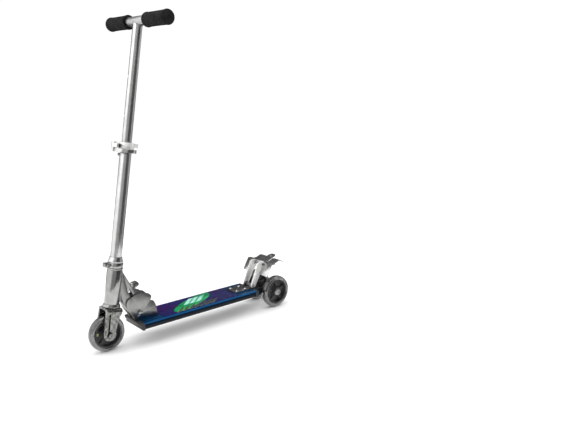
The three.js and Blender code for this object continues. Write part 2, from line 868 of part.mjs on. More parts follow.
// ---- Rear carrier and axle ----
const CARRIER_INNER = 23;
const CARRIER_OUTER = 28;
const rearAxle = [0, WHEELBASE, WHEEL_RADIUS];

function rearCarrier() {
  const front = DECK_REAR + GAP;
  const side = [
    [front, 50],
    [front, 65],
    [516, 65, 6],
    [WHEELBASE + 4, 62],
    [WHEELBASE, 38],
    [516, 48, 8],
  ];
  const plate = box([-CARRIER_OUTER, CARRIER_OUTER], [front, front + 4], [50, 65]);
  const arms = [1, -1].flatMap((sign) => {
    const [from, to] = [CARRIER_INNER, CARRIER_OUTER].map((x) => x * sign).sort((a, b) => a - b);
    const bossEnds = [CARRIER_INNER, REAR_TRACK / 2 - BEARING_OUT - GAP];
    const [bossFrom, bossTo] = bossEnds.map((x) => x * sign).sort((a, b) => a - b);
    return [
      slab("x", side, from, to),
      rod("x", 13, from, to, rearAxle, 24),
      rod("x", 7, bossFrom, bossTo, rearAxle, SMALL),
    ];
  });
  return cut(union(plate, ...arms), rod("x", AXLE_RADIUS + GAP, -60, 60, rearAxle, SMALL));
}

function axleCapNut(sign) {
  const seat = REAR_TRACK / 2 + halfWidth + GAP;
  const outline = [
    [AXLE_RADIUS + GAP, seat],
    [10.5, seat],
    [10.5, seat + 1.8],
    [7.2, seat + 2.6],
    [6.6, seat + 6],
    [AXLE_RADIUS + GAP, seat + 6],
  ];
  return turned(
    "x",
    outline.map(([radius, station]) => [radius, sign * station]),
    rearAxle,
    20,
  );
}

piece(chassis, "rear_carrier", rearCarrier(), looks.black);
const axleEnd = REAR_TRACK / 2 + halfWidth + 5;
piece(chassis, "rear_axle", rod("x", AXLE_RADIUS, -axleEnd, axleEnd, rearAxle, SMALL), looks.steel);
piece(chassis, "rear_axle_nut_left", axleCapNut(1), looks.steel);
piece(chassis, "rear_axle_nut_right", axleCapNut(-1), looks.steel);

// ---- Foot brake ----
const hingeAt = [0, BRAKE_HINGE_BACK, BRAKE_HINGE_HEIGHT];
const BASE_BOTTOM = DECK_TOP + GAP;
const BASE_TOP = BASE_BOTTOM + 2.4;
const EAR_INNER = 12.6;
const EAR_OUTER = 16.2;
const BRAKE_ARM_INNER = 17;
const BRAKE_ARM_OUTER = 20;
const HINGE_PIN_RADIUS = 2.6;

function brakeBase() {
  const plan = [
    [-24, 414, 4],
    [24, 414, 4],
    [24, 468, 4],
    [EAR_OUTER, 472],
    [EAR_OUTER, 480],
    [-EAR_OUTER, 480],
    [-EAR_OUTER, 472],
    [-24, 468, 4],
  ];
  const ear = [
    [470, BASE_BOTTOM],
    [493, BASE_BOTTOM, 5],
    [493, 82, 6],
    [480, 82, 5],
    [470, BASE_TOP],
  ];
  return cut(
    union(
      slab("z", plan, BASE_BOTTOM, BASE_TOP),
      slab("x", ear, EAR_INNER, EAR_OUTER),
      slab("x", ear, -EAR_OUTER, -EAR_INNER),
    ),
    rod("x", HINGE_PIN_RADIUS + GAP, -30, 30, hingeAt, SMALL),
  );
}

function baseScrew(x, back) {
  const seat = BASE_TOP + GAP;
  return turned(
    "z",
    [
      [0, seat],
      [4.8, seat],
      [4.6, seat + 1.2],
      [3.2, seat + 2.5],
      [1.8, seat + 2.8],
      [1.8, seat + 1.4],
      [0, seat + 1.4],
    ],
    [x, back, 0],
    12,
  );
}

// The return spring, a coil about the hinge pin between the base's ears.
function brakeSpring() {
  const wire = 0.8;
  return coil(4.6, wire, -10, 10, 7, [0, 0, 0]).rotate([0, 90, 0]).translate(hingeAt);
}

function hingePin() {
  const seat = BRAKE_ARM_OUTER + GAP;
  return turned(
    "x",
    [
      [0, -seat - 2],
      [HINGE_PIN_RADIUS, -seat - 2],
      [HINGE_PIN_RADIUS, seat],
      [4.4, seat],
      [4.4, seat + 1.2],
      [3, seat + 2.2],
      [0, seat + 2.2],
    ],
    hingeAt,
    SMALL,
  );
}

const crossPinAt = [0, 525, 138];

function brakeArm(sign) {
  const outline = [
    [477, 69.5, 4],
    [478, 80],
    [490, 108],
    [505, 143, 3],
    [513, 149, 5],
    [529, 146, 5],
    [536, 135, 4],
    [514, 106],
    [497, 76],
    [493, 69.5, 4],
  ];
  const [from, to] = [BRAKE_ARM_INNER, BRAKE_ARM_OUTER].map((x) => x * sign).sort((a, b) => a - b);
  return cut(
    slab("x", outline, from, to),
    rod("x", HINGE_PIN_RADIUS + GAP, -30, 30, hingeAt, SMALL),
    rod("x", 2.3, -30, 30, crossPinAt, 16),
  );
}

// The pressed sheet over the wheels: two wings that drop ahead of them, a saddle between, and a pedal
// tongue that is cut out of the middle and bent up.
function brakeBlade() {
  const thick = BRAKE_SHEET;
  const under = [
    [511, 107],
    [520, 124],
    [531, 141],
    [538, 141.5],
    [547, 138],
    [557, 141],
    [570, 146],
    [580, 144],
    [588, 137.5],
  ];
  const over = under.map(([back, height], i) => [
    back + (i < 3 ? -thick * 0.8 : i > 7 ? thick * 0.7 : 0),
    height + (i < 2 ? thick * 0.5 : thick),
  ]);
  const wing = REAR_TRACK / 2 + halfWidth;
  const tail = REAR_TRACK / 2;
  const sheet = slab("x", [...under, ...over.toReversed()], -wing, wing);
  const plan = [
    [-wing, 500, 9],
    [-21.5, 500, 9],
    [-21.5, 537.6],
    [21.5, 537.6],
    [21.5, 500, 9],
    [wing, 500, 9],
    [wing, 540, 5],
    [tail, 553, 5],
    [tail, 592, 8],
    [-tail, 592, 8],
    [-tail, 553, 5],
    [-wing, 540, 5],
  ];
  const plates = sheet.intersect(slab("z", plan, 90, 160));
  const cutOut = box([-16, 16], [553, 600], [120, 170]);
  const tongueSide = [
    [545, 138.6],
    [590, 153.6],
    [589.4, 155.6],
    [545, 140.8],
  ];
  const tonguePlan = [
    [-14, 545],
    [-14, 590, 13],
    [14, 590, 13],
    [14, 545],
  ];
  const tongue = slab("x", tongueSide, -14, 14).intersect(slab("z", tonguePlan, 130, 160));
  const hole = rod("z", 3, 130, 170, [0, 577, 0], 16);
  const ear = [
    [519, 131, 4],
    [531, 131, 4],
    [549, 138.8],
    [547, 140],
    [536, 143.2],
    [523, 144.5, 4],
  ];
  const ears = [
    slab("x", ear, 14.4, 16.6),
    slab("x", ear, -16.6, -14.4),
  ];
  return cut(
    union(cut(plates, cutOut), tongue, ...ears),
    hole,
    rod("x", 2.3, -30, 30, crossPinAt, 16),
  );
}

function crossPin() {
  const seat = BRAKE_ARM_OUTER + GAP;
  const half = [
    [0, seat + 1],
    [2.6, seat + 0.9],
    [3.6, seat + 0.4],
    [3.6, seat],
    [2, seat],
  ];
  const mirrored = half.toReversed().map(([radius, station]) => [radius, -station]);
  return turned("x", [...half, ...mirrored], crossPinAt, 16);
}

piece(chassis, "brake_base", brakeBase(), looks.steel);
[
  [-16, 424],
  [16, 424],
  [-16, 456],
  [16, 456],
].forEach(([x, back], i) => {
  piece(chassis, `brake_base_screw_${i + 1}`, baseScrew(x, back), looks.bright);
});
piece(chassis, "brake_hinge_pin", hingePin(), looks.steel);
piece(chassis, "brake_spring", brakeSpring(), looks.steel);
piece(chassis, "brake_arm_left", brakeArm(1), looks.bright);
piece(chassis, "brake_arm_right", brakeArm(-1), looks.bright);
piece(chassis, "brake_blade", brakeBlade(), looks.bright);
piece(chassis, "brake_cross_pin", crossPin(), looks.steel);

export default scooter;
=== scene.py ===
"""Looks for the folding kick scooter: materials, detailed pieces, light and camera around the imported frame.

Metres. +X is the rider's left, +Y the rear and +Z up; the wheels stand on z = 0.
"""

import json
import math

import bmesh
import bpy
from mathutils import Matrix, Vector


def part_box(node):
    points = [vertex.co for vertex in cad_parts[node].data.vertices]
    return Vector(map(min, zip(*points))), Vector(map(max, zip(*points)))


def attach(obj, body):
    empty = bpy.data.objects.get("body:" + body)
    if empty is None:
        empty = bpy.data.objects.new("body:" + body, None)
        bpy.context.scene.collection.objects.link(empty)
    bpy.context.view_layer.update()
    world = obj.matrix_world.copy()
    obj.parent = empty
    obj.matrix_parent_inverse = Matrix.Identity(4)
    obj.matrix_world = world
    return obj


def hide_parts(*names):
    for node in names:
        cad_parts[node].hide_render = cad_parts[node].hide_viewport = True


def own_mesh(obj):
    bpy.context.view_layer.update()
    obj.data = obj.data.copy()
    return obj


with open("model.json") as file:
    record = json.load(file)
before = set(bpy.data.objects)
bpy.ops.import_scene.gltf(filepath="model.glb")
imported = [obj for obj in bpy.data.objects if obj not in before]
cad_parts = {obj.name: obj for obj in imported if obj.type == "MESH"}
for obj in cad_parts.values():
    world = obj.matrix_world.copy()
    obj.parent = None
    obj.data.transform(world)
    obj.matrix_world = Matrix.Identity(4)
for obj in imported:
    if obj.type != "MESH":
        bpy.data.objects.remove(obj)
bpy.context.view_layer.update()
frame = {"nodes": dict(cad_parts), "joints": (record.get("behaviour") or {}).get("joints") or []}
nodes = frame["nodes"]
joints = {joint["name"]: joint for joint in frame["joints"]}
MM = 0.001


# ---- Places taken from the frame ----

def middle(node):
    low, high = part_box(node)
    return (Vector(low) + Vector(high)) / 2


def half_size(node):
    low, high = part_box(node)
    return (Vector(high) - Vector(low)) / 2


def column_matrix():
    """The steering column's own frame: z up the steering axis, x to the rider's left."""
    up = Vector(joints["steering"]["axis"]).normalized()
    across = Vector((1, 0, 0))
    back = up.cross(across)
    turn = Matrix((across, back, up)).transposed().to_4x4()
    return Matrix.Translation(joints["steering"]["pos_m"]) @ turn


COLUMN = column_matrix()
RAKE = math.atan2(COLUMN[1][2], COLUMN[2][2])
ALONG_X = Matrix.Rotation(math.pi / 2, 4, "Y")  # a lathe's axis laid along +X


# ---- Node materials ----

NOISE_ROUGHNESS = 0.55


class Shader:
    """A material whose colour, roughness and bump are built from object-space noise."""

    def __init__(self, name, **sockets):
        self.material = bpy.data.materials.new(name)
        self.material.use_nodes = True
        self.tree = self.material.node_tree
        self.surface = self.tree.nodes["Principled BSDF"]
        for socket, value in sockets.items():
            self.surface.inputs[socket.replace("_", " ")].default_value = value
        coordinates = self.tree.nodes.new("ShaderNodeTexCoord")
        self.place = coordinates.outputs["Object"]

    def node(self, kind, **properties):
        made = self.tree.nodes.new(kind)
        for key, value in properties.items():
            setattr(made, key, value)
        return made

    def link(self, output, target):
        self.tree.links.new(output, target)

    def noise(self, scale, detail=4, tilt=0.0):
        """Noise with its own scale, per metre, along x, y and z; tilt turns it about x first."""
        mapping = self.node("ShaderNodeMapping")
        mapping.inputs["Rotation"].default_value = (tilt, 0, 0)
        turned = self.place
        if tilt:
            self.link(self.place, mapping.inputs["Vector"])
            turned = mapping.outputs["Vector"]
        stretch = self.node("ShaderNodeMapping")
        stretch.inputs["Scale"].default_value = scale
        self.link(turned, stretch.inputs["Vector"])
        made = self.node("ShaderNodeTexNoise")
        made.inputs["Scale"].default_value = 1
        made.inputs["Detail"].default_value = detail
        made.inputs["Roughness"].default_value = NOISE_ROUGHNESS
        self.link(stretch.outputs["Vector"], made.inputs["Vector"])
        return made.outputs["Fac"]

    def ramp(self, value, stops):
        """A colour ramp over (position, colour) stops, in rising order."""
        made = self.node("ShaderNodeValToRGB")
        elements = made.color_ramp.elements
        while len(elements) < len(stops):
            elements.new(0.5)
        for element, (position, colour) in zip(elements, stops):
            element.position = position
            element.color = (*colour, 1)
        self.link(value, made.inputs["Fac"])
        return made.outputs["Color"]

    def colour(self, value, tones, low=0.35, high=0.65):
        return self.ramp(value, [(low, tones[0]), (high, tones[1])])

    def paint(self, value, tones, low=0.35, high=0.65):
        self.link(self.colour(value, tones, low, high), self.surface.inputs["Base Color"])

    def polish(self, value, smooth, rough):
        spread = self.node("ShaderNodeMapRange")
        spread.inputs["From Min"].default_value = 0.3
        spread.inputs["From Max"].default_value = 0.7
        spread.inputs["To Min"].default_value = smooth
        spread.inputs["To Max"].default_value = rough
        self.link(value, spread.inputs["Value"])
        self.link(spread.outputs["Result"], self.surface.inputs["Roughness"])

    def relief(self, value, depth, strength=1.0):
        bump = self.node("ShaderNodeBump")
        bump.inputs["Distance"].default_value = depth
        bump.inputs["Strength"].default_value = strength
        self.link(value, bump.inputs["Height"])
        self.link(bump.outputs["Normal"], self.surface.inputs["Normal"])


def metal(name, tones, rough, brush, grain_depth=0.02 * MM, tilt=0.0, blotch=30):
    """A metal with drawn or brushed lines, and soft patches in its polish."""
    made = Shader(name, Metallic=1.0)
    lines = made.noise(brush, 3, tilt)
    patches = made.noise((blotch,) * 3, 3)
    made.paint(patches, tones)
    made.polish(lines, *rough)
    made.relief(lines, grain_depth, 0.5)
    return made.material


def drawn_aluminium():
    tones = ((0.60, 0.60, 0.60), (0.72, 0.72, 0.71))
    return metal("drawn_aluminium", tones, (0.16, 0.26), (900, 900, 14), 0.006 * MM, -RAKE)


def bar_aluminium():
    tones = ((0.50, 0.50, 0.50), (0.60, 0.60, 0.59))
    return metal("bar_aluminium", tones, (0.2, 0.32), (14, 900, 900), 0.006 * MM)


def satin_aluminium():
    tones = ((0.25, 0.25, 0.24), (0.34, 0.34, 0.33))
    return metal("satin_aluminium", tones, (0.26, 0.38), (500, 500, 120), 0.006 * MM)


def turned_aluminium():
    tones = ((0.34, 0.34, 0.33), (0.44, 0.44, 0.43))
    return metal("turned_aluminium", tones, (0.13, 0.22), (500, 500, 200), 0.003 * MM)


def forged_aluminium():
    tones = ((0.11, 0.11, 0.10), (0.34, 0.34, 0.33))
    return metal("forged_aluminium", tones, (0.2, 0.34), (260, 260, 260), 0.012 * MM, 0.0, 130)


def bright_steel():
    tones = ((0.74, 0.74, 0.73), (0.86, 0.86, 0.85))
    return metal("bright_steel", tones, (0.07, 0.16), (300, 300, 60), 0.01 * MM)


def plated_steel():
    """Bright zinc plate, milky enough to look white where it faces the light."""
    made = Shader("plated_steel", Metallic=0.45)
    made.paint(made.noise((45, 45, 45)), ((0.84, 0.84, 0.82), (0.96, 0.96, 0.94)))
    lines = made.noise((40, 160, 60), 3)
    made.polish(lines, 0.2, 0.3)
    made.relief(lines, 0.004 * MM, 0.3)
    return made.material


def plain_steel():
    tones = ((0.30, 0.30, 0.30), (0.44, 0.44, 0.44))
    return metal("plain_steel", tones, (0.18, 0.34), (500, 60, 500), 0.015 * MM)


def blade_steel():
    tones = ((0.52, 0.52, 0.52), (0.68, 0.68, 0.67))
    return metal("blade_steel", tones, (0.14, 0.26), (60, 500, 300), 0.006 * MM, 0.0, 45)


# Painted light on the channel's blue at each share of its height, from the skirt up: painted shade, almost
# black, down the skirt and a painted highlight line near the top edge.
CHANNEL_PAINTED_LIGHT = [(0.0, 0.04), (0.45, 0.08), (0.55, 0.4), (0.84, 0.55), (0.91, 2.0), (0.98, 1.1)]


def anodised_blue_painted_light():
    """Blue anodised deck extrusion with painted light: a painted highlight line along its top edge and
    painted shade, almost black, down its skirt.
    """
    made = Shader("anodised_blue_painted_light", Metallic=0.9)
    drift = made.noise((12, 4, 12), 3)
    top = made.colour(drift, ((0.008, 0.09, 0.27), (0.014, 0.17, 0.44)))
    split = made.node("ShaderNodeSeparateXYZ")
    made.link(made.place, split.inputs["Vector"])
    height = made.node("ShaderNodeMapRange")
    skirt, deck_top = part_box("deck_channel")[0][2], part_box("deck_channel")[1][2]
    height.inputs["From Min"].default_value = skirt
    height.inputs["From Max"].default_value = deck_top
    made.link(split.outputs["Z"], height.inputs["Value"])
    # Painted light by height: painted shade on the skirt and a painted highlight line along the top edge.
    shade = made.ramp(height.outputs["Result"], [(share, (tone,) * 3) for share, tone in CHANNEL_PAINTED_LIGHT])
    mix = made.node("ShaderNodeMix", data_type="RGBA", blend_type="MULTIPLY")
    mix.inputs["Factor"].default_value = 1
    made.link(top, mix.inputs[6])
    made.link(shade, mix.inputs[7])
    made.link(mix.outputs[2], made.surface.inputs["Base Color"])
    lines = made.noise((700, 10, 700), 3)
    made.polish(lines, 0.2, 0.34)
    made.relief(lines, 0.008 * MM, 0.5)
    return made.material


def black_enamel():
    made = Shader("black_enamel", Specular_IOR_Level=0.2)
    made.paint(made.noise((25, 25, 25)), ((0.006, 0.006, 0.008), (0.016, 0.017, 0.020)))
    grain = made.noise((900, 900, 900), 5)
    made.polish(grain, 0.4, 0.55)
    made.relief(grain, 0.02 * MM, 0.6)
    return made.material


def violet_foil():
    """Metallised film: violet and deep blue run into each other along the deck, with fine scratches."""
    made = Shader("violet_foil", Metallic=0.5, Specular_IOR_Level=0.2)
    drift = made.noise((9, 3.5, 9), 2)
    made.paint(drift, ((0.042, 0.013, 0.125), (0.006, 0.030, 0.175)), 0.38, 0.60)
    scratches = made.noise((1100, 40, 400), 5)
    made.polish(scratches, 0.2, 0.36)
    made.relief(scratches, 0.01 * MM, 0.5)
    return made.material


def moulded_plastic(name, tones):
    made = Shader(name, Specular_IOR_Level=0.45)
    made.paint(made.noise((40, 40, 40)), tones)
    grain = made.noise((1400, 1400, 1400), 4)
    made.polish(grain, 0.35, 0.55)
    made.relief(grain, 0.03 * MM, 0.6)
    return made.material


def foam_rubber():
    """Closed-cell foam: near black, with open pores and paler rubbed patches."""
    made = Shader("foam_rubber", Specular_IOR_Level=0.12)
    pores = made.node("ShaderNodeTexVoronoi")
    pores.inputs["Scale"].default_value = 900
    made.link(made.place, pores.inputs["Vector"])
    made.paint(made.noise((60, 60, 60), 6), ((0.006, 0.006, 0.006), (0.016, 0.016, 0.016)))
    made.polish(made.noise((200, 200, 200)), 0.7, 0.92)
    made.relief(pores.outputs["Distance"], 0.25 * MM, 0.7)
    return made.material


def smoky_polyurethane():
    """Cast translucent tyre: smoke grey, a little cloudy, glossy outside."""
    made = Shader(
        "smoky_polyurethane",
        Transmission_Weight=0.94,
        IOR=1.49,
        Coat_Weight=1.0,
        Coat_Roughness=0.04,
        Coat_IOR=1.8,
    )
    made.paint(made.noise((35, 35, 35), 5), ((0.10, 0.10, 0.10), (0.18, 0.18, 0.18)))
    made.polish(made.noise((120, 120, 120), 4), 0.03, 0.10)
    made.relief(made.noise((400, 400, 400), 3), 0.02 * MM, 0.4)
    return made.material


def olive_lens():
    made = Shader("olive_lens", Transmission_Weight=0.3, IOR=1.5, Coat_Weight=0.6)
    made.paint(made.noise((300, 300, 300)), ((0.22, 0.23, 0.06), (0.42, 0.40, 0.16)))
    made.polish(made.noise((500, 500, 500)), 0.12, 0.3)
    return made.material


def printed_ink(name, tones):
    made = Shader(name, Metallic=0.1, Specular_IOR_Level=0.2)
    made.paint(made.noise((60, 15, 60), 4), tones)
    made.polish(made.noise((700, 90, 700), 4), 0.22, 0.4)
    return made.material


def weld_metal():
    made = Shader("weld_metal", Metallic=1.0)
    made.paint(made.noise((300, 300, 300), 5), ((0.25, 0.25, 0.26), (0.55, 0.55, 0.55)))
    made.polish(made.noise((500, 500, 500)), 0.28, 0.5)
    made.relief(made.noise((700, 700, 700)), 0.05 * MM, 0.8)
    return made.material


def studio_floor():
    made = Shader("studio_floor")
    made.paint(made.noise((3, 3, 3)), ((0.955, 0.955, 0.955), (0.975, 0.975, 0.975)))
    made.polish(made.noise((20, 20, 20)), 0.7, 0.85)
    return made.material


LOOKS = {
    "drawn": drawn_aluminium(),
    "bar": bar_aluminium(),
    "satin": satin_aluminium(),
    "turned": turned_aluminium(),
    "forged": forged_aluminium(),
    "bright": bright_steel(),
    "plated": plated_steel(),
    "steel": plain_steel(),
    "blade": blade_steel(),
    "anodised": anodised_blue_painted_light(),
    "enamel": black_enamel(),
    "foil": violet_foil(),
    "black": moulded_plastic("black_plastic", ((0.010, 0.010, 0.011), (0.030, 0.030, 0.032))),
    "teal": moulded_plastic("teal_plastic", ((0.003, 0.014, 0.024), (0.007, 0.030, 0.045))),
    "foam": foam_rubber(),
    "tyre": smoky_polyurethane(),
    "lens": olive_lens(),
    "green": printed_ink("green_ink", ((0.0, 0.22, 0.07), (0.0, 0.42, 0.12))),
    "mint": printed_ink("mint_ink", ((0.20, 0.62, 0.48), (0.50, 0.88, 0.76))),
    "gold": printed_ink("gold_ink", ((0.22, 0.25, 0.07), (0.42, 0.40, 0.18))),
    "navy": printed_ink("navy_ink", ((0.002, 0.003, 0.010), (0.005, 0.008, 0.024))),
    "weld": weld_metal(),
}


# ---- CAD nodes that stay ----

def bevel_edges(obj, width, angle):
    """Small bevels on the edges sharper than an angle, so that each edge catches the light."""
    bevel = obj.modifiers.new("bevel", "BEVEL")
    bevel.width = width
    bevel.segments = 2
    bevel.limit_method = "ANGLE"
    bevel.angle_limit = math.radians(angle)
    bevel.harden_normals = True


def soften(node, look, width):
    """Gives a CAD node its material, smooth round faces and small bevels on its edges."""
    obj = nodes[node]
    obj.data.materials.clear()
    obj.data.materials.append(LOOKS[look])
    obj.data.shade_smooth()
    weld = obj.modifiers.new("weld", "WELD")
    weld.merge_threshold = 0.004 * MM
    flat = obj.modifiers.new("flat", "DECIMATE")
    flat.decimate_type = "DISSOLVE"
    flat.angle_limit = math.radians(0.6)
    bevel_edges(obj, width, 32)


KEPT = {
    "anodised": ["deck_channel"],
    "enamel": ["deck_tray", "rear_carrier", "lock_pin"],
    "foil": ["deck_grip_sheet"],
    "black": ["deck_front_cap"],
    "teal": ["deck_rear_cap"],
    "satin": ["fold_bracket", "fold_arm", "brake_base"],
    "turned": ["head_tube", "headset_lower_cup", "headset_upper_cup", "headset_collar"],
    "forged": ["fork", "front_axle_bolt", "rear_axle"],
    "drawn": ["lower_tube", "mast_tube", "headset_nut"],
    "bar": ["handlebar"],
    "bright": [
        "clamp_lever", "lock_release_tab",
        "brake_base_screw_1", "brake_base_screw_2", "brake_base_screw_3", "brake_base_screw_4",
    ],
    "plated": ["brake_arm_left", "brake_arm_right", "clamp_collar"],
    "steel": [
        "fold_pivot_bolt", "headset_collar_bolt", "clamp_bolt",
        "fold_pivot_nut", "headset_lower_bearing", "headset_upper_bearing",
        "front_axle_nut", "height_button", "rear_axle_nut_left", "rear_axle_nut_right",
        "brake_hinge_pin", "brake_spring", "brake_cross_pin",
    ],
    "blade": ["brake_blade"],
}
FINE = {"brake_spring", "deck_grip_sheet", "brake_cross_pin"}
FINE_BEVEL = 0.1 * MM
BEVEL = 0.35 * MM
PIECE_BEVEL_ANGLE = 35

for look, names in KEPT.items():
    for name in names:
        soften(name, look, FINE_BEVEL if name in FINE else BEVEL)


# ---- Mesh pieces ----

def piece(name, bm, matrix, look, body, slot, *replaced):
    """Makes an object of a bmesh in the row frame that rides a body and may stand for CAD nodes."""
    bmesh.ops.transform(bm, matrix=matrix, verts=bm.verts)
    bmesh.ops.recalc_face_normals(bm, faces=bm.faces)
    mesh = bpy.data.meshes.new(name)
    bm.to_mesh(mesh)
    bm.free()
    mesh.shade_smooth()
    mesh.materials.append(LOOKS[look])
    obj = bpy.data.objects.new(name, mesh)
    bpy.context.scene.collection.objects.link(obj)
    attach(obj, body)
    if replaced:
        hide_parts(*replaced)
    return obj


def add_lathe(bm, outline, steps=96):
    """Turns a closed outline of (radius, station) pairs about z; radius 0 lies on the axis."""
    rings = []
    for radius, station in outline:
        if radius < 1e-7:
            rings.append([bm.verts.new((0, 0, station))])
            continue
        turns = [2 * math.pi * i / steps for i in range(steps)]
        rings.append([bm.verts.new((radius * math.cos(a), radius * math.sin(a), station)) for a in turns])
    for first, second in zip(rings, rings[1:] + rings[:1]):
        if len(first) == 1 and len(second) == 1:
            continue
        for i in range(steps):
            j = (i + 1) % steps
            near = [first[i % len(first)], first[j % len(first)]]
            far = [second[j % len(second)], second[i % len(second)]]
            bm.faces.new(list(dict.fromkeys(near + far)))


def arc(centre, radius, start, end, steps):
    """Points on an arc, in degrees, about a (radius, station) centre."""
    angles = [math.radians(start + (end - start) * i / steps) for i in range(steps + 1)]
    return [(centre[0] + radius * math.cos(a), centre[1] + radius * math.sin(a)) for a in angles]


def add_prism(bm, outline, low, high):
    """A closed outline of (x, y) points between two heights."""
    bottom = [bm.verts.new((x, y, low)) for x, y in outline]
    top = [bm.verts.new((x, y, high)) for x, y in outline]
    bm.faces.new(bottom[::-1])
    bm.faces.new(top)
    for i, corner in enumerate(bottom):
        j = (i + 1) % len(bottom)
        bm.faces.new([corner, bottom[j], top[j], top[i]])


ROPE_SIDES = 10


def add_rope(bm, points, radius, ripple=0.0, closed=False):
    """A round rod along a line of points; ripple varies its thickness as a weld's does."""
    rings = []
    for i, point in enumerate(points):
        if closed:
            before, after = points[i - 1], points[(i + 1) % len(points)]
        else:
            before, after = points[max(i - 1, 0)], points[min(i + 1, len(points) - 1)]
        along = (after - before).normalized()
        side = along.orthogonal().normalized() if not rings else side - along * side.dot(along)
        side = side.normalized()
        up = along.cross(side)
        here = radius * (1 + ripple * math.sin(i * 2.1))
        turns = [2 * math.pi * k / ROPE_SIDES for k in range(ROPE_SIDES)]
        rings.append([bm.verts.new(point + here * (math.cos(a) * side + math.sin(a) * up)) for a in turns])
    pairs = list(zip(rings, rings[1:]))
    if closed:
        pairs.append((rings[-1], rings[0]))
    for first, second in pairs:
        for k in range(ROPE_SIDES):
            m = (k + 1) % ROPE_SIDES
            bm.faces.new([first[k], first[m], second[m], second[k]])
    if not closed:
        bm.faces.new(rings[0][::-1])
        bm.faces.new(rings[-1])


# ---- Grips ----

def grip(side):
    """A foam grip with a rolled collar at its inner end and a swollen, rounded outer end."""
    name = "grip_left" if side > 0 else "grip_right"
    low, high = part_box(name)
    inner, outer = sorted((abs(low[0]), abs(high[0])))
    flare = half_size(name).z
    body_radius = flare - 0.8 * MM
    bore = half_size("handlebar").z + 0.4 * MM
    outline = [(bore, inner + 1 * MM), (bore + 1 * MM, inner)]
    outline += arc((flare - 2.4 * MM, inner + 2.6 * MM), 2.4 * MM, -70, 60, 8)
    length = outer - inner
    for i in range(1, 20):
        share = i / 20
        waist = 0.3 * MM * math.sin(math.pi * share)
        outline.append((body_radius - waist, inner + 6.5 * MM + share * (length - 18 * MM)))
    outline += arc((flare - 5 * MM, outer - 6.2 * MM), 5 * MM, -20, 70, 10)
    outline += [(flare * 0.45, outer - 0.3 * MM), (0, outer)]
    outline += [(0, outer - 6 * MM), (bore, outer - 6 * MM)]
    bm = bmesh.new()
    add_lathe(bm, [(r, side * s) for r, s in outline], 72)
    centre = middle("handlebar")
    place = Matrix.Translation((0, centre.y, centre.z)) @ ALONG_X
    piece(f"foam_{name}", bm, place, "foam", "mast", "grip_foam", name)


for side in (1, -1):
    grip(side)


# ---- Wheels ----

HUB_RADIUS = 38 * MM
CROWN = 9 * MM  # how far a tyre's round tread stands out from its side walls
SPOKES = 5


def wheel_place(tyre):
    return Matrix.Translation(middle(tyre)) @ ALONG_X


def tyre_piece(tyre, body):
    """A cast tyre: round crown with a fine parting line, stepped side walls, straight seat on the hub."""
    radius = half_size(tyre).z
    width = half_size(tyre).x
    shoulder = radius - CROWN
    outline = []
    for i in range(33):
        angle = math.radians(-90 + 180 * i / 32)
        ridge = 0.12 * MM if i == 16 else 0
        tread = shoulder + CROWN * max(math.cos(angle), 0) ** 0.7
        outline.append((min(tread + ridge, radius), width * math.sin(angle)))
    outline += [(shoulder - 0.8 * MM, width - 0.1 * MM), (shoulder - 1.2 * MM, width - 0.8 * MM)]
    outline += [(HUB_RADIUS + 0.3 * MM, width - 1 * MM), (HUB_RADIUS + 0.3 * MM, 1 * MM - width)]
    outline += [(shoulder - 1.2 * MM, 0.8 * MM - width), (shoulder - 0.8 * MM, 0.1 * MM - width)]
    bm = bmesh.new()
    add_lathe(bm, outline, 128)
    piece(f"cast_{tyre}", bm, wheel_place(tyre), "tyre", body, "tyre", tyre)


def add_spoke(bm, turn, half_thick):
    """A waisted spoke from the boss to the rim."""
    outline = [
        (13 * MM, -6 * MM),
        (18 * MM, -4.4 * MM),
        (26 * MM, -4.2 * MM),
        (35 * MM, -7.4 * MM),
        (35 * MM, 7.4 * MM),
        (26 * MM, 4.2 * MM),
        (18 * MM, 4.4 * MM),
        (13 * MM, 6 * MM),
    ]
    spin = Matrix.Rotation(turn, 2)
    turned = [spin @ Vector(point) for point in outline]
    add_prism(bm, turned, -half_thick, half_thick)


def hub_piece(hub, tyre, body):
    """A black moulded hub: grooved rim band, waisted spokes, and a boss that holds the bearings."""
    edge = half_size(hub).x
    rim = [
        (33.2 * MM, -edge + 1 * MM),
        (34 * MM, -edge),
        (HUB_RADIUS - 0.6 * MM, -edge),
        (HUB_RADIUS, -edge + 0.6 * MM),
        (HUB_RADIUS, edge - 0.6 * MM),
        (HUB_RADIUS - 0.6 * MM, edge),
        (34 * MM, edge),
        (33.2 * MM, edge - 1 * MM),
        (33.2 * MM, 3.4 * MM),
        (32 * MM, 2.4 * MM),
        (32 * MM, -2.4 * MM),
        (33.2 * MM, -3.4 * MM),
    ]
    boss_edge = edge + 0.2 * MM
    boss = [
        (11.3 * MM, -boss_edge + 0.4 * MM),
        (11.7 * MM, -boss_edge),
        (14.2 * MM, -boss_edge),
        (15 * MM, -boss_edge + 0.8 * MM),
        (16 * MM, -5 * MM),
        (18.5 * MM, -4 * MM),
        (18.5 * MM, 4 * MM),
        (16 * MM, 5 * MM),
        (15 * MM, boss_edge - 0.8 * MM),
        (14.2 * MM, boss_edge),
        (11.7 * MM, boss_edge),
        (11.3 * MM, boss_edge - 0.4 * MM),
        (11.3 * MM, 3.4 * MM),
        (6 * MM, 3.4 * MM),
        (6 * MM, -3.4 * MM),
        (11.3 * MM, -3.4 * MM),
    ]
    bm = bmesh.new()
    add_lathe(bm, rim, 96)
    add_lathe(bm, boss, 96)
    for i in range(SPOKES):
        add_spoke(bm, 2 * math.pi * (i + 0.5) / SPOKES, 5.6 * MM)
    web = [(17 * MM, -1.5 * MM), (33 * MM, -1.5 * MM), (33 * MM, 1.5 * MM), (17 * MM, 1.5 * MM)]
    add_lathe(bm, web, 96)
    made = piece(f"moulded_{hub}", bm, wheel_place(tyre), "black", body, "hub", hub)
    bevel_edges(made, 0.4 * MM, PIECE_BEVEL_ANGLE)


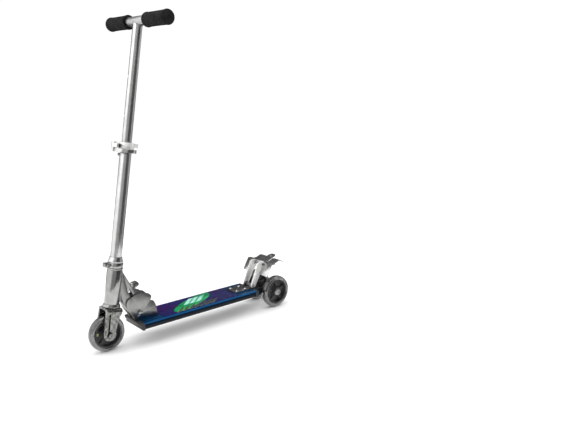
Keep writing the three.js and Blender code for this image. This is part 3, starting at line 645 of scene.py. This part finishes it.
def bearing_piece(bearing, body):
    """A ball bearing seen from its sides: two races with a sunk shield between them."""
    half = half_size(bearing).x
    outer = half_size(bearing).z
    bore = 4.3 * MM
    face = [
        (bore, half - 0.2 * MM),
        (bore + 0.3 * MM, half),
        (6.4 * MM, half),
        (6.6 * MM, half - 0.5 * MM),
        (8.9 * MM, half - 0.5 * MM),
        (9.2 * MM, half),
        (outer - 0.3 * MM, half),
        (outer, half - 0.3 * MM),
    ]
    outline = face + [(radius, -station) for radius, station in face[::-1]]
    bm = bmesh.new()
    add_lathe(bm, outline, 64)
    place = Matrix.Translation(middle(bearing)) @ ALONG_X
    piece(f"raced_{bearing}", bm, place, "steel", body, "steel", bearing)


LIGHT_TURN = math.radians(-100)
LIGHT_REACH = 30.6 * MM  # from the axle to the middle of the lens


def wheel_light():
    """The flashing light in the front hub: a small lens between two spokes."""
    bm = bmesh.new()
    lens = [(x * 4.2 * MM, y * 2.6 * MM) for x, y in ((-1, -0.6), (-0.7, -1), (0.7, -1), (1, -0.6))]
    lens += [(-x, -y) for x, y in lens]
    deep = half_size("front_hub").x - 0.6 * MM
    add_prism(bm, lens, -deep, deep)
    quarter = Matrix.Rotation(math.pi / 2, 4, "Z")
    out = Matrix.Rotation(LIGHT_TURN, 4, "Z") @ Matrix.Translation((LIGHT_REACH, 0, 0)) @ quarter
    made = piece("front_light", bm, wheel_place("front_tyre") @ out, "lens", "front_wheel", "hub")
    bevel_edges(made, 0.7 * MM, PIECE_BEVEL_ANGLE)


WHEELS = {
    "front_wheel": ("front_tyre", "front_hub", ["front_bearing_left", "front_bearing_right"]),
    "rear_wheel_left": ("rear_tyre_left", "rear_hub_left", ["rear_bearing_left_a", "rear_bearing_left_b"]),
    "rear_wheel_right": (
        "rear_tyre_right", "rear_hub_right", ["rear_bearing_right_a", "rear_bearing_right_b"],
    ),
}

for body, (tyre, hub, bearings) in WHEELS.items():
    tyre_piece(tyre, body)
    hub_piece(hub, tyre, body)
    for bearing in bearings:
        bearing_piece(bearing, body)

wheel_light()


# ---- Deck graphic ----

SHEET_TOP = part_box("deck_grip_sheet")[1][2]


OVAL_STEPS = 48
INK = 0.04 * MM  # how thick a printed layer is


def leaning_oval(centre, half_width, half_length, lean):
    """Points of an oval whose long axis runs along the deck and leans across it."""
    points = []
    for i in range(OVAL_STEPS):
        angle = 2 * math.pi * i / OVAL_STEPS
        x = half_width * math.cos(angle)
        y = half_length * math.sin(angle)
        points.append((centre[0] + x + lean * y, centre[1] + y))
    return points


def print_layer(name, outline, look, layer):
    """A thin printed shape on the deck's foil, in its own layer of ink."""
    bm = bmesh.new()
    base = SHEET_TOP + (0.5 + 1.5 * layer) * INK
    add_prism(bm, outline, base, base + INK)
    piece(name, bm, Matrix.Identity(4), look, "deck", "foil")


def slanted_bar(x0, x1, y0, y1, slant):
    """A parallelogram across the deck, with its far end shifted along it."""
    return [(x0, y0), (x1, y0 + slant), (x1, y1 + slant), (x0, y1)]


def deck_graphic():
    """A leaning green oval with pale slanted blocks on it and a row of dark strokes beside it."""
    print_layer("graphic_field", leaning_oval((-1 * MM, -4 * MM), 26 * MM, 80 * MM, -0.38), "green", 0)
    for i in range(3):
        start = (-39 + 21 * i) * MM
        block = slanted_bar(4.7 * MM, -31 * MM, start, start + 16.5 * MM, 40 * MM)
        print_layer(f"graphic_block_{i + 1}", block, "mint", 1)
    for i in range(7):
        start = (-84 + 19 * i) * MM
        edge = slanted_bar(43 * MM, 17 * MM, start, start + 10 * MM, 33 * MM)
        stroke = slanted_bar(42 * MM, 18 * MM, start + 2.5 * MM, start + 9.5 * MM, 30.6 * MM)
        print_layer(f"graphic_edge_{i + 1}", edge, "gold", 1)
        print_layer(f"graphic_stroke_{i + 1}", stroke, "navy", 2)


deck_graphic()


# ---- Weld beads ----

MAST_TOP_DROP = 3.4 * MM  # the bead stays below the mast's top end
ARM_WELD_LOW, ARM_WELD_HIGH = 86 * MM, 168 * MM  # stations up the steering column
GROOVE_FLOOR = 20.7 * MM  # how far the groove's floor is from the middle plane


def mast_weld():
    """The bead where the mast meets the underside of the handlebar."""
    bar = COLUMN.inverted() @ middle("handlebar")
    mast = half_size("mast_tube").x + 0.3 * MM
    reach = half_size("handlebar").z + 0.6 * MM
    points = []
    for i in range(56):
        angle = 2 * math.pi * i / 56
        x = mast * math.cos(angle)
        y = mast * math.sin(angle)
        drop = max(math.sqrt(max(reach * reach - y * y, 0)), MAST_TOP_DROP)
        points.append(Vector((x, y, bar.z - drop)))
    bm = bmesh.new()
    add_rope(bm, points, 1.2 * MM, 0.12, closed=True)
    piece("mast_weld", bm, COLUMN, "weld", "mast", "polished")


def arm_weld(side):
    """The bead down one side of the head tube, where the folding arm meets it."""
    x = side * 13.2 * MM
    y = 15.9 * MM
    count = 60
    rise = (ARM_WELD_HIGH - ARM_WELD_LOW) / count
    points = [Vector((x, y, ARM_WELD_LOW + rise * i)) for i in range(count + 1)]
    bm = bmesh.new()
    add_rope(bm, points, 1.3 * MM, 0.14)
    name = "arm_weld_left" if side > 0 else "arm_weld_right"
    piece(name, bm, COLUMN, "weld", "front_frame", "satin_metal")


def fork_groove(side):
    """A near-black sheet on the floor of the groove pressed into one fork leg: painted shadow in the groove.
    """
    line = [(3.6, 107), (5.6, 107), (-1.7, 61.6), (-5.8, 47.4), (-8.4, 48.6), (-4.2, 62.4)]
    points = [(back * MM, up * MM) for back, up in line]  # from the axle's station and the floor
    bm = bmesh.new()
    low, high = sorted((side * GROOVE_FLOOR, side * (GROOVE_FLOOR + 0.8 * MM)))
    add_prism(bm, points, low, high)
    lay = Matrix(((0, 0, 1, 0), (1, 0, 0, 0), (0, 1, 0, 0), (0, 0, 0, 1)))
    place = Matrix.Translation((0, middle("front_tyre").y, 0)) @ lay
    name = "groove_painted_shadow_left" if side > 0 else "groove_painted_shadow_right"
    # The enamel sheet is painted shadow where the groove lies in shade.
    piece(name, bm, place, "enamel", "steering", "satin_metal")


mast_weld()
for side in (1, -1):
    arm_weld(side)
    fork_groove(side)


# ---- Lock spring ----

COIL_TURNS = 5
COIL_STEPS = 24  # points in each turn
SPRING_WIRE = 0.6 * MM


def lock_spring():
    """The lock's return spring, which shortens as the tab is drawn up: a wound wire, built here at its rest
    length.
    """
    low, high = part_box("lock_spring")
    centre = middle("lock_spring")
    reach = half_size("lock_spring").x - SPRING_WIRE
    steps = COIL_TURNS * COIL_STEPS
    rise = (high[2] - low[2] - 2 * SPRING_WIRE) / steps
    points = []
    for i in range(steps + 1):
        angle = 2 * math.pi * i / COIL_STEPS
        round_it = Vector((reach * math.cos(angle), reach * math.sin(angle), 0))
        points.append(Vector((centre.x, centre.y, low[2] + SPRING_WIRE + rise * i)) + round_it)
    bm = bmesh.new()
    add_rope(bm, points, SPRING_WIRE)
    at_rest = Matrix.Identity(4)
    spring = piece("wound_lock_spring", bm, at_rest, "steel", "front_frame", "steel", "lock_spring")
    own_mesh(spring)


lock_spring()


# ---- Studio ----

def floor():
    """A wide pale floor, just under the wheels."""
    half = 30
    bm = bmesh.new()
    corners = [(-half, -half), (half, -half), (half, half), (-half, half)]
    bm.faces.new([bm.verts.new((x, y, 0)) for x, y in corners])
    mesh = bpy.data.meshes.new("floor")
    bm.to_mesh(mesh)
    bm.free()
    mesh.materials.append(studio_floor())
    obj = bpy.data.objects.new("floor", mesh)
    obj.location.z = -0.1 * MM
    bpy.context.scene.collection.objects.link(obj)


def softbox(name, centre, aim, size, watts):
    light = bpy.data.lights.new(name, "AREA")
    light.shape = "RECTANGLE"
    light.size, light.size_y = size
    light.energy = watts
    obj = bpy.data.objects.new(name, light)
    way = Vector(aim) - Vector(centre)
    obj.matrix_world = Matrix.Translation(centre) @ way.to_track_quat("-Z", "Y").to_matrix().to_4x4()
    bpy.context.scene.collection.objects.link(obj)


CAMERA_PLACE = (1.4568, -0.94485, 0.7037)
CAMERA_YAW = math.radians(47.82)
CAMERA_PITCH = math.radians(12.38)
CAMERA_LENS = 38.34
AIM = Vector((0, 0, 0.35))


def around(turn_deg, distance, height):
    """A point round the object; 0 is towards the camera and positive angles are to its right."""
    angle = CAMERA_YAW - math.pi / 2 + math.radians(turn_deg)
    return Vector((distance * math.cos(angle), distance * math.sin(angle), height))


RING_CENTRE = (0, -0.17, 0)
RING_RADIUS = 0.64
RING_HEIGHT = 1.5
RING_STEPS = 96
# Tones round the ring by angle in degrees: 0 is the camera's side, positive angles are to its right.
RING_STOPS = [
    (-180, 0.10),
    (-128, 0.16),
    (-112, 0.85),
    (-72, 0.95),
    (-34, 0.95),
    (-22, 0.36),
    (18, 0.30),
    (36, 0.06),
    (88, 0.08),
    (106, 0.40),
    (132, 0.32),
    (152, 0.10),
    (180, 0.10),
]


def reflection_ring():
    """A round screen that only reflections see: pale to the left of the camera, dark to its right."""
    bm = bmesh.new()
    rings = []
    for z in (0, RING_HEIGHT):
        turns = [2 * math.pi * i / RING_STEPS for i in range(RING_STEPS)]
        places = [(RING_RADIUS * math.cos(a), RING_RADIUS * math.sin(a), z) for a in turns]
        rings.append([bm.verts.new(place) for place in places])
    for i in range(RING_STEPS):
        j = (i + 1) % RING_STEPS
        bm.faces.new([rings[0][i], rings[0][j], rings[1][j], rings[1][i]])
    mesh = bpy.data.meshes.new("reflection_ring")
    bm.to_mesh(mesh)
    bm.free()
    obj = bpy.data.objects.new("reflection_ring", mesh)
    bpy.context.scene.collection.objects.link(obj)
    obj.matrix_world = Matrix.Translation(RING_CENTRE) @ Matrix.Rotation(CAMERA_YAW - math.pi / 2, 4, "Z")
    mesh.materials.append(ring_tones())
    obj.visible_camera = False
    obj.visible_diffuse = False
    obj.visible_shadow = False
    obj.visible_transmission = False


def ring_tones():
    """Grey tones round the ring, by the angle from the camera's side of it."""
    made = Shader("ring_tones", Roughness=1.0, Specular_IOR_Level=0.0)
    angle = made.node("ShaderNodeTexGradient", gradient_type="RADIAL")
    made.link(made.place, angle.inputs["Vector"])
    stops = [(0.5 + degrees / 360, (tone,) * 3) for degrees, tone in RING_STOPS]
    made.link(made.ramp(angle.outputs["Fac"], stops), made.surface.inputs["Base Color"])
    return made.material


def studio():
    floor()
    world = bpy.data.worlds.new("studio")
    world.use_nodes = True
    sky = world.node_tree.nodes["Background"]
    sky.inputs["Color"].default_value = (1, 1, 1, 1)
    sky.inputs["Strength"].default_value = 1.04
    bpy.context.scene.world = world
    softbox("key", around(-60, 1.9, 1.6), AIM, (0.9, 1.6), 16)
    softbox("top", Vector((0.1, 0.0, 2.4)), AIM, (1.6, 1.6), 14)
    softbox("rim", around(150, 2.2, 1.3), AIM, (0.8, 1.6), 10)
    reflection_ring()


def camera():
    forward = Vector((
        -math.sin(CAMERA_YAW) * math.cos(CAMERA_PITCH),
        math.cos(CAMERA_YAW) * math.cos(CAMERA_PITCH),
        -math.sin(CAMERA_PITCH),
    ))
    right = Vector((math.cos(CAMERA_YAW), math.sin(CAMERA_YAW), 0))
    up = right.cross(forward)
    data = bpy.data.cameras.new("camera")
    data.lens = CAMERA_LENS
    data.sensor_width = 36
    obj = bpy.data.objects.new("camera", data)
    turn = Matrix((right, up, -forward)).transposed().to_4x4()
    obj.matrix_world = Matrix.Translation(CAMERA_PLACE) @ turn
    bpy.context.scene.collection.objects.link(obj)
    bpy.context.scene.camera = obj


studio()
camera()
bpy.context.scene.view_settings.view_transform = "Standard"
